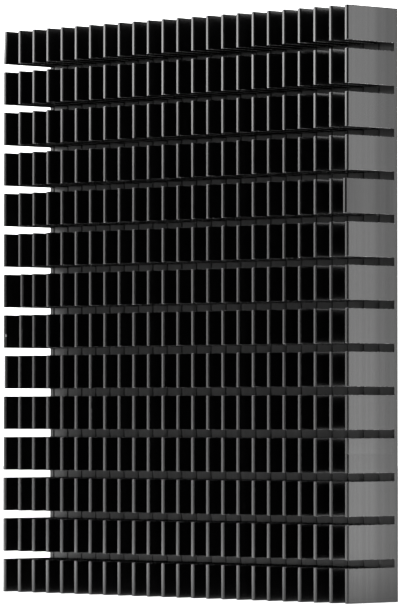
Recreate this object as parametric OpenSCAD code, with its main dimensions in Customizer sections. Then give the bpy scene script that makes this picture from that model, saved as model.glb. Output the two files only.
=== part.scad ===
// Pin fin heat sink. It is one aluminium extrusion, a thin base plate with fins
// along its whole length, gang sawn across so that each fin becomes a column of
// flat pins. The extrusion runs along Z, the pins point to -Y, and the flat back
// of the base, where the hot module sits, faces +Y. The origin is in the middle
// of that back face. All sizes are in millimetres.

/* [Fins] */
// Number of fins across the width
fins = 24; // [4:1:36]
// Spacing of the fins, centre to centre
fin_pitch = 6.35; // [4:0.05:10]
// Thickness of each fin
fin_t = 1.4; // [1:0.1:2]
// Height of the fins above the base
fin_h = 20.4; // [8:0.1:30]
// Radius of the two corners along each fin tip
tip_r = 0.45; // [0.1:0.05:0.6]
// Radius of the corner between a fin and the base
root_r = 0.5; // [0.1:0.05:0.9]

/* [Base] */
// Thickness of the base plate
base_t = 1.3; // [1:0.1:6]

/* [Saw cuts] */
// Number of rows that the cuts make
rows = 14; // [2:1:20]
// Spacing of the rows, centre to centre
row_pitch = 12.7; // [8:0.1:20]
// Width of each cut
cut_w = 2.4; // [1:0.1:4]
// Height of the fin stubs that the saw leaves on the base
stub_h = 0.3; // [0.1:0.05:0.8]

/* [Wear] */
// Knock a few pins out of line
bent = true; // [true, false]

/* [Hidden] */
$fn = 32;

width = (fins - 1) * fin_pitch + fin_t;
height = rows * row_pitch - cut_w;
pin_h = row_pitch - cut_w;
corner_share = 0.45; // how much of a fin's thickness one rounded corner may take
root = 0.2;   // how far a fin's section reaches into what it stands on
inset = 0.05; // how far the crease at a bent pin's root is set in, on each side
clear = 1;    // how far a cutting shape stands clear of the metal

// Where each bent pin is, and how far it leans and twists, in degrees:
// [row from the top, column from the left, lean to the right, twist]
bends = [
    [0, 0, -0.5, 4],
    [4, 23, -2.3, 0],
    [6, 1, 2.8, 0],
    [7, 1, 1.3, 0],
    [8, 0, 1.1, 0],
];

function fin_x(column) = (column - (fins - 1) / 2) * fin_pitch;
function pin_z(row) = height / 2 - pin_h / 2 - row * row_pitch;

// Section of a fin that reaches from just inside its seat, y = 0, to its rounded tip.
// A fin too thin for both corners gets smaller ones.
module fin_section(thickness, reach) {
    corner = min(tip_r, thickness * corner_share);
    translate([-thickness / 2, corner - reach])
        square([thickness, reach - corner + root]);
    translate([corner - thickness / 2, -reach])
        square([thickness - 2 * corner, 2 * corner]);
    for (side = [-1, 1])
        translate([side * (thickness / 2 - corner), corner - reach])
            circle(corner);
}

// Section of the fillet that fills the corner on the right of a fin
module root_fillet() {
    difference() {
        translate([-root, -root_r])
            square([root_r + root, root_r + root]);
        translate([root_r, -root_r])
            circle(root_r);
    }
}

// Section of the whole extrusion, with its back on y = 0
module extrusion_section() {
    translate([-width / 2, -base_t])
        square([width, base_t]);
    for (column = [0 : fins - 1])
        translate([fin_x(column), -base_t])
            fin_section(fin_t, fin_h);
    for (gap = [0 : fins - 2]) {
        translate([fin_x(gap) + fin_t / 2, -base_t])
            root_fillet();
        translate([fin_x(gap + 1) - fin_t / 2, -base_t])
            mirror([1, 0])
                root_fillet();
    }
}

// The metal that the saw takes out below one row of pins
module saw_cut(row) {
    translate([-width / 2 - clear, -base_t - fin_h - clear, pin_z(row) - pin_h / 2 - cut_w])
        cube([width + 2 * clear, fin_h + clear - stub_h, cut_w]);
}

// The space of one pin, from the top of its stub outward
module pin_space(row, column) {
    translate([
        fin_x(column) - fin_pitch / 2,
        -base_t - fin_h - clear,
        pin_z(row) - row_pitch / 2
    ])
        cube([fin_pitch, fin_h + clear - stub_h, row_pitch]);
}

// One pin turned about the crease at the top of its stub
module bent_pin(row, column, lean, twist) {
    translate([fin_x(column), -base_t - stub_h, pin_z(row)])
        rotate([0, twist, lean])
            linear_extrude(pin_h, center = true)
                fin_section(fin_t - 2 * inset, fin_h - stub_h);
}

module heat_sink() {
    // Only the bends that this number of rows and fins has room for
    used = [for (b = bends) if (bent && b[0] < rows && b[1] < fins) b];
    color("#262628") {
        difference() {
            translate([0, 0, -height / 2])
                linear_extrude(height)
                    extrusion_section();
            for (row = [0 : rows - 2])
                saw_cut(row);
            for (b = used)
                pin_space(b[0], b[1]);
        }
        for (b = used)
            bent_pin(b[0], b[1], b[2], b[3]);
    }
}

heat_sink();
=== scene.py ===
# Looks of the pin fin heat sink: the black anodised extrusion, its studio and its camera.
import math
import random
import bmesh
import bpy
from mathutils import Matrix, Vector


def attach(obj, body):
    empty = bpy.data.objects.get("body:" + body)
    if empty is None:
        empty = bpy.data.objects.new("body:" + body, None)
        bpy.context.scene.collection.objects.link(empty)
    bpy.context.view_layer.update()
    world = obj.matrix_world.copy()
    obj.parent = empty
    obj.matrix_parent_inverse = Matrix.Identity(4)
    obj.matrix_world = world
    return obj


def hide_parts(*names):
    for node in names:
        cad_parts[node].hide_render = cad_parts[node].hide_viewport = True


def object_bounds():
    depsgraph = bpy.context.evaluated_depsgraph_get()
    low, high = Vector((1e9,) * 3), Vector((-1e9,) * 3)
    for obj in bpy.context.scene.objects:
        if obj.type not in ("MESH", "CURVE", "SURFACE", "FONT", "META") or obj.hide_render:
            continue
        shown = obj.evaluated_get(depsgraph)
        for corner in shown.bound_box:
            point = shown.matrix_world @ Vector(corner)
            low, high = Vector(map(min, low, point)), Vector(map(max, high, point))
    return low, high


mm = 0.001
near = 1e-6            # places closer than this, in metres, count as the same
cornerTurn = 1.0       # radians by which two faces turn at a real corner, at least
straight = 0.999       # cosine from which an edge counts as along an axis
facing = 0.99          # and from which a face counts as facing along one
xAxis, zAxis = 0, 2    # across the fins and along them, as places in a vector

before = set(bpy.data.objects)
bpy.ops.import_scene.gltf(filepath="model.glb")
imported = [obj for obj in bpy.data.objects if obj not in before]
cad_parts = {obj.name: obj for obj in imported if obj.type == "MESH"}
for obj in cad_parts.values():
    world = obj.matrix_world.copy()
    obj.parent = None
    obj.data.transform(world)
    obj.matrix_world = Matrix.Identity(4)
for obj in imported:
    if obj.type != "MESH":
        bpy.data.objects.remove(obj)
cadLow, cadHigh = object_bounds()
print("frame loaded")

heatSink = {
    "fins": 24,
    "rows": 14,
    "finThickness": 1.4 * mm,
    "finHeight": 20.4 * mm,
    "baseThickness": 1.3 * mm,
    "cutWidth": 2.4 * mm,       # one saw cut
    "stubHeight": 0.3 * mm,     # what the saw leaves of a fin
    "creaseHeight": 1.2 * mm,   # where a knocked pin starts to lean, above its stub
    "tipRadius": 0.45 * mm,
    "tipSteps": 4,
    "rootRadius": 0.27 * mm,
    "rootSteps": 3,
    "sawnBevel": 0.1 * mm,
    "sawnSteps": 1,
    "plateBevel": 0.12 * mm,
    "plateSteps": 2,
    "smoothTurn": 40,           # degrees up to which an edge is shaded smooth
    "stubDullnessAndShade": 0.3,        # how dull the floors of the cuts are, where the sides of a cut are 1; it also makes them mirror less, as painted shade
    "channelDullnessAndShade": 0.25,    # and the floors between the fins, which mirror less as painted shade too
    "rimWear": 0.5,             # how thin the coat is on the sawn rims, where bare metal is 1
    "strayLean": 0.09,          # degrees that a sound pin is out of true
    "edgeLean": 1.2,            # and that the left column leans outward
    "seed": 7,
    "nickSize": 0.4 * mm,       # half a nick's length along the tip
    # a nick's row from the top and column from the left: how far up the tip it is, how far it pushes the
    # right corner out, or in where that is negative, and how bare it is
    "nicks": {
        (7, 0): (0.38, 0.12 * mm, 0.6),
        (7, 1): (0.52, 0.16 * mm, 0.4),
        (9, 6): (0.6, 0.12 * mm, 0.2),
        (10, 23): (0.55, -0.12 * mm, 0.35),
    },
    # a knocked pin's row from the top and column from the left: its lean to the right and its twist, in
    # degrees. The last one stands upright among pins that lean
    "bends": {
        (0, 0): (-0.45, 3.0),
        (4, 23): (-2.3, 0.0),
        (6, 1): (2.8, 0.0),
        (7, 1): (1.3, 0.0),
        (8, 0): (0.0, 0.0),
    },
    "twistFrom": 5 * mm,        # how far above its crease a twisted pin is turned
    "rowSlack": 0.5 * mm,       # how far outside its row a point still belongs to a pin
}


def sinkPlan(sink):
    # The clean right flank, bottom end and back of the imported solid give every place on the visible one
    plan = {"width": 2 * cadHigh.x, "height": -2 * cadLow.z}
    finPitch = (plan["width"] - sink["finThickness"]) / (sink["fins"] - 1)
    rowPitch = (plan["height"] + sink["cutWidth"]) / sink["rows"]
    lefts = [column * finPitch - plan["width"] / 2 for column in range(sink["fins"])]
    tops = [plan["height"] / 2 - row * rowPitch for row in range(sink["rows"])]
    plan["finSpans"] = [(left, left + sink["finThickness"]) for left in lefts]
    plan["rowSpans"] = [(top - rowPitch + sink["cutWidth"], top) for top in tops]
    plan["front"] = cadHigh.y - sink["baseThickness"]
    plan["tip"] = plan["front"] - sink["finHeight"]
    plan["stubTop"] = plan["front"] - sink["stubHeight"]
    plan["crease"] = plan["stubTop"] - sink["creaseHeight"]
    return plan


def spanOf(value, spans):
    # Which span holds the value, or None
    for number, (low, high) in enumerate(spans):
        if low < value < high:
            return number
    return None


def facesWithin(faces, axis, spans):
    return [face for face in faces if spanOf(face.calc_center_median()[axis], spans) is not None]


def cutAcross(mesh, parts, place, normal):
    return bmesh.ops.bisect_plane(mesh, geom=parts, dist=near / 10, plane_co=place, plane_no=normal)["geom"]


def sliceSheet(mesh, axis, places):
    normal = Vector((0, 0, 0))
    normal[axis] = 1
    for place in places:
        cutAcross(mesh, mesh.verts[:] + mesh.edges[:] + mesh.faces[:], normal * place, normal)


def raiseFaces(mesh, faces, distance):
    # Extrudes the faces toward the pin tips and returns the faces at the far end
    edges = {edge for face in faces for edge in face.edges}
    verts = {vert for face in faces for vert in face.verts}
    raised = bmesh.ops.extrude_face_region(mesh, geom=faces + list(edges) + list(verts))["geom"]
    verts = [item for item in raised if isinstance(item, bmesh.types.BMVert)]
    bmesh.ops.translate(mesh, verts=verts, vec=(0, -distance, 0))
    return [item for item in raised if isinstance(item, bmesh.types.BMFace)]


def bevelEdges(mesh, edges, radius, steps):
    return bmesh.ops.bevel(mesh, geom=edges, affect="EDGES", offset=radius, offset_type="OFFSET",
                           segments=steps, profile=0.5, material=-1, clamp_overlap=True)["faces"]


def runsAlong(edge, axis):
    direction = edge.verts[1].co - edge.verts[0].co
    return abs(direction[axis]) > straight * direction.length


def frontSheet(plan):
    # The front of the base, scored where the fins and the saw cuts will be
    mesh = bmesh.new()
    size = Matrix.Diagonal((plan["width"], plan["height"], 1, 1))
    turn = Matrix.Translation((0, plan["front"], 0)) @ Matrix.Rotation(math.radians(90), 4, "X")
    bmesh.ops.create_grid(mesh, x_segments=1, y_segments=1, size=0.5, matrix=turn @ size)
    finSides = [side for span in plan["finSpans"] for side in span]
    rowEnds = [end for span in plan["rowSpans"] for end in span]
    sliceSheet(mesh, xAxis, finSides[1:-1])
    sliceSheet(mesh, zAxis, [end for end in rowEnds if abs(end) < plan["height"] / 2 - mm])
    return mesh


def raisePins(mesh, sink, plan):
    stubs = raiseFaces(mesh, facesWithin(mesh.faces, xAxis, plan["finSpans"]), sink["stubHeight"])
    corners = [edge for edge in mesh.edges if runsAlong(edge, zAxis) and len(edge.link_faces) == 2
               and abs(edge.verts[0].co.y - plan["front"]) < near and not edge.is_convex
               and edge.calc_face_angle() > cornerTurn]
    tops = facesWithin(stubs, zAxis, plan["rowSpans"])
    creases = raiseFaces(mesh, tops, sink["creaseHeight"])
    raiseFaces(mesh, creases, plan["crease"] - plan["tip"])
    bevelEdges(mesh, corners, sink["rootRadius"], sink["rootSteps"])


def roundTips(mesh, sink, plan):
    edges = [edge for edge in mesh.edges
             if runsAlong(edge, zAxis) and abs(edge.verts[0].co.y - plan["tip"]) < near]
    bevelEdges(mesh, edges, sink["tipRadius"], sink["tipSteps"])


def easeSawnEnds(mesh, sink, plan):
    # The sharp rims that the saw leaves round both ends of each pin
    edges = []
    for edge in mesh.edges:
        if len(edge.link_faces) != 2 or runsAlong(edge, zAxis) or not edge.is_convex:
            continue
        ends = [face for face in edge.link_faces if abs(face.normal.z) > facing]
        above = min(vert.co.y for vert in edge.verts) < plan["stubTop"] - near
        if len(ends) == 1 and above:
            edges.append(edge)
    return bevelEdges(mesh, edges, sink["sawnBevel"], sink["sawnSteps"])


def markSawnFaces(mesh, sink, plan):
    # The cut ends of the block and its pins, and the floors of the saw cuts
    # The dullness also carries painted shade: the more dull a face, the less it mirrors
    dullAndShaded = mesh.faces.layers.float["dullAndShaded"]
    for face in mesh.faces:
        height = face.calc_center_median().y
        facesOut = face.normal.y < -facing
        if abs(face.normal.z) > facing:
            face[dullAndShaded] = 1.0
        elif facesOut and abs(height - plan["stubTop"]) < near:
            face[dullAndShaded] = sink["stubDullnessAndShade"]
        elif facesOut and abs(height - plan["front"]) < near:
            face[dullAndShaded] = sink["channelDullnessAndShade"]


def facesOfPin(mesh, sink, plan, middle, rowSpan):
    low, high = rowSpan
    found = []
    for face in mesh.faces:
        centre = face.calc_center_median()
        onColumn = abs(centre.x - middle) < sink["finThickness"]
        if onColumn and low < centre.z < high and centre.y < plan["crease"]:
            found.append(face)
    return found


def nickPins(mesh, sink, plan):
    wear = mesh.faces.layers.float["wear"]
    cornerEnd = plan["tip"] + sink["tipRadius"] + near
    for (row, column), (up, push, bare) in sink["nicks"].items():
        low, high = plan["rowSpans"][row]
        place = low + up * (high - low)
        middle = sum(plan["finSpans"][column]) / 2
        faces = facesOfPin(mesh, sink, plan, middle, (low, high))
        for height in (place - sink["nickSize"], place, place + sink["nickSize"]):
            parts = {part for face in faces for part in (*face.verts, *face.edges, face)}
            parts = cutAcross(mesh, list(parts), (0, 0, height), (0, 0, 1))
            faces = [part for part in parts if isinstance(part, bmesh.types.BMFace)]
        for face in faces:
            centre = face.calc_center_median()
            if centre.y < cornerEnd and centre.x > middle and abs(centre.z - place) < sink["nickSize"]:
                face[wear] = bare
        for vert in {vert for face in faces for vert in face.verts}:
            if abs(vert.co.z - place) < near and vert.co.y < cornerEnd and vert.co.x > middle:
                vert.co += Vector((push, -min(push, 0), 0))


def backPlate(mesh, sink):
    rim = [edge for edge in mesh.edges if edge.is_boundary]
    grown = bmesh.ops.extrude_edge_only(mesh, edges=rim)["geom"]
    for vert in grown:
        if isinstance(vert, bmesh.types.BMVert):
            vert.co.y = cadHigh.y
    bmesh.ops.contextual_create(mesh, geom=[edge for edge in mesh.edges if edge.is_boundary])
    bmesh.ops.recalc_face_normals(mesh, faces=mesh.faces[:])
    backRim = [edge for edge in mesh.edges
               if all(abs(vert.co.y - cadHigh.y) < near for vert in edge.verts)]
    bevelEdges(mesh, backRim, sink["plateBevel"], sink["plateSteps"])


def pointsOfPins(mesh, sink, plan):
    # The points above the creases, by row and column. The spans are widened to take in nicks as well
    slack = sink["finThickness"]
    columns = [(low - slack, high + slack) for low, high in plan["finSpans"]]
    rows = [(low - sink["rowSlack"], high + sink["rowSlack"]) for low, high in plan["rowSpans"]]
    pins = {}
    for vert in mesh.verts:
        if vert.co.y < plan["crease"] + near:
            pins.setdefault((spanOf(vert.co.z, rows), spanOf(vert.co.x, columns)), []).append(vert)
    return pins


def turnPoints(mesh, verts, root, degrees, axis):
    bmesh.ops.rotate(mesh, verts=verts, cent=root, matrix=Matrix.Rotation(math.radians(degrees), 4, axis))


def leanPins(mesh, sink, plan):
    draw = random.Random(sink["seed"])
    for (row, column), verts in sorted(pointsOfPins(mesh, sink, plan).items()):
        lean, twist = draw.uniform(-1, 1) * sink["strayLean"], 0.0
        if column == 0:
            lean = -sink["edgeLean"]
        elif column == sink["fins"] - 1:
            lean = -abs(lean)   # the right flank stays inside the block
        lean, twist = sink["bends"].get((row, column), (lean, twist))
        root = Vector((sum(plan["finSpans"][column]) / 2, plan["stubTop"], sum(plan["rowSpans"][row]) / 2))
        turnPoints(mesh, verts, root, lean, "Z")
        if twist:
            outer = [vert for vert in verts if vert.co.y < plan["crease"] - sink["twistFrom"]]
            turnPoints(mesh, outer, root, twist, "Y")


def makeHeatSink(sink):
    plan = sinkPlan(sink)
    mesh = frontSheet(plan)
    wear = mesh.faces.layers.float.new("wear")
    mesh.faces.layers.float.new("dullAndShaded")
    raisePins(mesh, sink, plan)
    roundTips(mesh, sink, plan)
    backPlate(mesh, sink)
    mesh.normal_update()
    markSawnFaces(mesh, sink, plan)
    for face in easeSawnEnds(mesh, sink, plan):
        face[wear] = sink["rimWear"]
    nickPins(mesh, sink, plan)
    leanPins(mesh, sink, plan)
    data = bpy.data.meshes.new("heatSinkBody")
    mesh.to_mesh(data)
    openEdges = sum(not edge.is_manifold for edge in mesh.edges)
    print("heat sink faces", len(mesh.faces), "open edges", openEdges)
    mesh.free()
    data.polygons.foreach_set("use_smooth", [True] * len(data.polygons))
    data.set_sharp_from_angle(angle=math.radians(sink["smoothTurn"]))
    piece = bpy.data.objects.new("heatSinkBody", data)
    bpy.context.collection.objects.link(piece)
    steady = piece.modifiers.new("flatFaces", "WEIGHTED_NORMAL")
    steady.keep_sharp = True
    return piece


sinkPiece = makeHeatSink(heatSink)
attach(sinkPiece, "root")
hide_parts("heat_sink")
print("heat sink modelled")

anodising = {
    "colour": (0.0005, 0.0005, 0.0005, 1),
    "paleColour": (0.004, 0.004, 0.0042, 1),      # where the dye took less
    "sawnColour": (0.0012, 0.0012, 0.0012, 1),
    "metalColour": (0.55, 0.55, 0.56, 1),         # bare aluminium on rims and nicks
    "bareBetween": (0.95, 1.2),                   # wear and specks added up, where it starts and is all bare
    "roughness": (0.17, 0.22),                    # in the smoothest and the dullest cloud
    "sawnRoughness": (0.85, 1.0),
    "sawnBetween": (0.26, 0.31),                  # the dullness where the marks of the saw start and are full
    "floorsFrom": 0.1,                            # the dullness above which a face isn't a flank
    "glint": (0.9, 1.08),                         # how strongly the darkest and palest streaks mirror
    "glintBetween": (0.15, 0.75),                 # the paleness that those two stand for
    # painted shade: the sawn faces mirror far less, which darkens the saw cuts and, in part, the floors
    "sawnShadeGlint": (0.05, 0.3),
    # painted sheen: a band along the pins that mirrors more, from the tips inward: where it starts, is full,
    # fades and ends
    "band": (-21.7 * mm, -17 * mm, -14 * mm, -5 * mm),
    "bandGlint": (1.0, 1.15, 0.72),               # at the tips, in the painted sheen and near the base, where it is painted shade
    "ior": 1.6,
    "streak": (0.45 * mm, 400 * mm),              # width and length of a die line
    "streakRange": (0.35, 0.7),                   # the noise that is no streak and a full one
    "broadStreak": (2.6 * mm, 900 * mm),
    "broadRange": (0.35, 0.65),
    "broadWeight": 1.3,                           # the broad streaks' share where the fine ones' is 1
    "paleness": 0.43,                             # of the two together
    "wave": (7 * mm, 900 * mm),                   # how the flanks are out of flat
    "waveHeight": 0.03 * mm,
    "cloud": 26 * mm,
    "cloudRange": (0.3, 0.7),
    "grain": 0.07 * mm,
    "speck": 0.5 * mm,
    "speckRange": (0.3, 0.7),
    "toothMark": 0.4 * mm,                        # spacing of the marks that the saw's teeth leave
    "toothWobble": (9 * mm, 9 * mm, 3 * mm),      # size of the patches in which they wander
    "wobbleMarks": 3,                             # and how far, in marks
    "bladeRadius": 70 * mm,
    "streakHeight": 0.004 * mm,
    "grainHeight": 0.0015 * mm,
    "toothHeight": 0.012 * mm,
}


def addNode(tree, kind, sockets, **settings):
    # Makes a node, and sets or links its input sockets
    node = tree.nodes.new("ShaderNode" + kind)
    for name, value in settings.items():
        setattr(node, name, value)
    for socket, value in sockets.items():
        if isinstance(value, bpy.types.NodeSocket):
            tree.links.new(value, node.inputs[socket])
        else:
            node.inputs[socket].default_value = value
    return node


def noiseOf(tree, place, size, detail=2.0, roughness=0.55):
    # Noise whose patches measure size along X, Y and Z
    stretched = addNode(tree, "Mapping", {"Vector": place, "Scale": [1 / length for length in size]})
    sockets = {"Vector": stretched.outputs[0], "Scale": 1.0, "Detail": detail, "Roughness": roughness}
    return addNode(tree, "TexNoise", sockets).outputs["Fac"]


def ramp(tree, value, low, high, start=0.0, end=1.0, **settings):
    sockets = {"Value": value, "From Min": low, "From Max": high, "To Min": start, "To Max": end}
    return addNode(tree, "MapRange", sockets, **settings).outputs["Result"]


def joined(tree, operation, *values):
    return addNode(tree, "Math", dict(enumerate(values)), operation=operation).outputs[0]


def mixed(tree, amount, first, second):
    # Crossfades two colours
    return addNode(tree, "Mix", {0: amount, 6: first, 7: second}, data_type="RGBA").outputs[2]


def blended(tree, amount, first, second):
    # Crossfades two values
    return addNode(tree, "Mix", {0: amount, 2: first, 3: second}).outputs[0]


def dieLines(tree, place, look):
    # Fine and broad streaks that the die drew along the extrusion
    streaks = []
    for width, length in (look["streak"], look["broadStreak"]):
        streaks.append(noiseOf(tree, place, (width, width, length)))
    fine = ramp(tree, streaks[0], *look["streakRange"])
    broad = ramp(tree, streaks[1], *look["broadRange"])
    return fine, broad


def toothMarks(tree, place, look):
    # Arcs that a round blade leaves as it travels along X
    axes = addNode(tree, "SeparateXYZ", {0: place}).outputs
    depth = joined(tree, "ADD", axes["Y"], look["bladeRadius"])
    squared = joined(tree, "SUBTRACT", look["bladeRadius"] ** 2, joined(tree, "POWER", depth, 2.0))
    arc = joined(tree, "SQRT", joined(tree, "MAXIMUM", squared, 0.0))
    travel = joined(tree, "ADD", axes["X"], arc)
    wander = look["wobbleMarks"] * look["toothMark"]
    wobble = joined(tree, "MULTIPLY", noiseOf(tree, place, look["toothWobble"]), wander)
    phase = joined(tree, "ADD", travel, wobble)
    return joined(tree, "SINE", joined(tree, "MULTIPLY", phase, 2 * math.pi / look["toothMark"]))


def paintedSheenBand(tree, place, look):
    # Painted sheen: the skin mirrors a little more in a band along the pins, and painted shade makes it
    # mirror less toward the base
    along = addNode(tree, "SeparateXYZ", {0: place}).outputs["Y"]
    starts, full, fades, ends = look["band"]
    tipGlint, bandGlint, baseGlint = look["bandGlint"]
    rising = ramp(tree, along, starts, full, tipGlint, bandGlint)
    falling = ramp(tree, along, fades, ends, bandGlint, baseGlint)
    return joined(tree, "MINIMUM", rising, falling)


def anodisedBlack(look):
    material = bpy.data.materials.new("blackAnodising")
    material.use_nodes = True
    tree = material.node_tree
    shader = tree.nodes["Principled BSDF"]
    place = addNode(tree, "TexCoord", {}).outputs["Object"]
    dullAndShaded = addNode(tree, "Attribute", {}, attribute_name="dullAndShaded").outputs["Fac"]
    sawn = ramp(tree, dullAndShaded, *look["sawnBetween"])
    wear = addNode(tree, "Attribute", {}, attribute_name="wear").outputs["Fac"]
    fine, broad = dieLines(tree, place, look)
    clouds = ramp(tree, noiseOf(tree, place, 3 * [look["cloud"]], detail=4.0), *look["cloudRange"])
    grain = noiseOf(tree, place, 3 * [look["grain"]])
    specks = noiseOf(tree, place, 3 * [look["speck"]], detail=3.0)
    bare = ramp(tree, joined(tree, "ADD", wear, specks), *look["bareBetween"])

    streaks = joined(tree, "ADD", fine, joined(tree, "MULTIPLY", broad, look["broadWeight"]))
    pale = joined(tree, "MULTIPLY", streaks, look["paleness"])
    skin = mixed(tree, pale, look["colour"], look["paleColour"])
    dyed = mixed(tree, sawn, skin, look["sawnColour"])
    tree.links.new(mixed(tree, bare, dyed, look["metalColour"]), shader.inputs["Base Color"])
    tree.links.new(bare, shader.inputs["Metallic"])

    skinSheen = ramp(tree, clouds, 0.0, 1.0, *look["roughness"])
    sawnSheen = ramp(tree, specks, *look["speckRange"], *look["sawnRoughness"])
    tree.links.new(blended(tree, dullAndShaded, skinSheen, sawnSheen), shader.inputs["Roughness"])

    onFloors = ramp(tree, dullAndShaded, 0.0, look["floorsFrom"])   # the painted sheen and shade are on the flanks and tips alone
    band = joined(tree, "MAXIMUM", paintedSheenBand(tree, place, look), onFloors)
    skinGlint = joined(tree, "MULTIPLY", ramp(tree, pale, *look["glintBetween"], *look["glint"]), band)
    # painted shade: the sawn faces, and in part the floors of the cuts and channels, mirror far less
    sawnShadeGlint = ramp(tree, specks, *look["speckRange"], *look["sawnShadeGlint"])
    tree.links.new(blended(tree, dullAndShaded, skinGlint, sawnShadeGlint), shader.inputs["Specular Tint"])

    width, length = look["wave"]
    unevenness = noiseOf(tree, place, (width, width, length), detail=0.0)
    waves = joined(tree, "MULTIPLY", unevenness, look["waveHeight"])
    drawn = joined(tree, "MULTIPLY_ADD", fine, look["streakHeight"], waves)
    height = joined(tree, "MULTIPLY", drawn, joined(tree, "SUBTRACT", 1.0, sawn))
    height = joined(tree, "ADD", height, joined(tree, "MULTIPLY", grain, look["grainHeight"]))
    teeth = joined(tree, "MULTIPLY", toothMarks(tree, place, look), sawn)
    height = joined(tree, "ADD", height, joined(tree, "MULTIPLY", teeth, look["toothHeight"]))
    bump = addNode(tree, "Bump", {"Height": height, "Strength": 1.0, "Distance": 1.0})
    tree.links.new(bump.outputs[0], shader.inputs["Normal"])
    shader.inputs["IOR"].default_value = look["ior"]
    return material


sinkPiece.data.materials.append(anodisedBlack(anodising))
print("finishes made")

studio = {
    "floorSize": 6.0,
    "floorColour": (0.95, 0.95, 0.95, 1),
    "floorRoughness": 0.9,
    "floorGlow": 1.0,                      # the paper is lit from below as well
    "skyColour": (1, 1, 1, 1),
    "skyStrength": 2.78,
    "darkColour": (0.02, 0.02, 0.02, 1),   # the rest of the room, as the metal sees it
    "darkSide": 52.0,                      # degrees that its darkest part is round toward the right flank
    "darkRise": 12,                        # and above level
    "windowMiddle": -0.15,                 # cosine from there to the middle of the bright band on either side
    "windowEdge": (0.07, 0.32),            # how far from its middle the band starts to fade and is gone
    # each light: where it hangs, what it points at, its width and height, and its power
    "lights": {
        "topPanel": ((-0.36, -0.38, 0.23), (0.0, -0.02, 0.05), (0.6, 0.3), 2.75),
        "lowPanel": ((-0.36, -0.38, -0.06), (0.0, -0.02, -0.06), (0.6, 0.05), 0.085),
        "floorStrip": ((-0.092, -0.114, -0.082), (0.0, -0.022, -0.082), (0.3, 0.01), 0.018),
        "sidePanel": ((0.182, 0.092, 0.032), (0.074, -0.011, 0.03), (0.044, 0.236), 0.064),
    },
}


def directionTo(azimuth, elevation):
    # Both in degrees: round from the pin side toward the right flank, and above level
    azimuth, elevation = math.radians(azimuth), math.radians(elevation)
    level = math.cos(elevation)
    return Vector((math.sin(azimuth) * level, -math.cos(azimuth) * level, math.sin(elevation)))


def makeFloor(settings):
    mesh = bmesh.new()
    place = Matrix.Translation((0, 0, cadLow.z))
    bmesh.ops.create_grid(mesh, x_segments=1, y_segments=1, size=settings["floorSize"] / 2, matrix=place)
    data = bpy.data.meshes.new("studioFloor")
    mesh.to_mesh(data)
    mesh.free()
    floor = bpy.data.objects.new("studioFloor", data)
    bpy.context.collection.objects.link(floor)
    material = bpy.data.materials.new("palePaper")
    material.use_nodes = True
    shader = material.node_tree.nodes["Principled BSDF"]
    shader.inputs["Base Color"].default_value = settings["floorColour"]
    shader.inputs["Roughness"].default_value = settings["floorRoughness"]
    shader.inputs["Emission Color"].default_value = settings["floorColour"]
    shader.inputs["Emission Strength"].default_value = settings["floorGlow"]
    data.materials.append(material)


def makeSky(settings):
    # White all round to the camera. The metal sees a dark room with a bright band on either side
    world = bpy.data.worlds.new("studioSky")
    world.use_nodes = True
    tree = world.node_tree
    background = tree.nodes["Background"]
    background.inputs["Strength"].default_value = settings["skyStrength"]
    direction = addNode(tree, "TexCoord", {}).outputs["Generated"]
    darkest = directionTo(settings["darkSide"], settings["darkRise"])
    toward = addNode(tree, "VectorMath", {0: direction, 1: darkest}, operation="DOT_PRODUCT").outputs["Value"]
    apart = joined(tree, "ABSOLUTE", joined(tree, "SUBTRACT", toward, settings["windowMiddle"]))
    darkness = ramp(tree, apart, *settings["windowEdge"], interpolation_type="SMOOTHSTEP")
    toMetal = joined(tree, "SUBTRACT", 1.0, addNode(tree, "LightPath", {}).outputs["Is Camera Ray"])
    amount = joined(tree, "MULTIPLY", darkness, toMetal)
    colour = mixed(tree, amount, settings["skyColour"], settings["darkColour"])
    tree.links.new(colour, background.inputs["Color"])
    bpy.context.scene.world = world


def makeLights(settings):
    for name, (place, target, size, power) in settings["lights"].items():
        data = bpy.data.lights.new(name, "AREA")
        data.shape = "RECTANGLE"
        data.size, data.size_y = size
        data.energy = power
        light = bpy.data.objects.new(name, data)
        bpy.context.collection.objects.link(light)
        light.location = place
        light.rotation_mode = "QUATERNION"
        light.rotation_quaternion = (Vector(target) - Vector(place)).to_track_quat("-Z", "Y")
        light.visible_camera = False


makeFloor(studio)
makeSky(studio)
makeLights(studio)
bpy.context.scene.view_settings.view_transform = "Standard"
print("studio built")

cameraPlace = {
    "azimuth": 44.78,      # degrees round from the pin side toward the right flank
    "elevation": -1.31,
    "distance": 1.503,
    "lens": 294.9,
    "clip": (0.05, 50),
    "aim": (8.0 * mm, -16.8 * mm, 1.2 * mm),
}


def makeCamera(place):
    data = bpy.data.cameras.new("studioCamera")
    data.lens = place["lens"]
    data.clip_start, data.clip_end = place["clip"]
    camera = bpy.data.objects.new("studioCamera", data)
    bpy.context.collection.objects.link(camera)
    away = directionTo(place["azimuth"], place["elevation"])
    camera.rotation_mode = "QUATERNION"
    camera.rotation_quaternion = (-away).to_track_quat("-Z", "Y")
    camera.location = Vector(place["aim"]) + away * place["distance"]
    bpy.context.scene.camera = camera


makeCamera(cameraPlace)
print("camera placed")
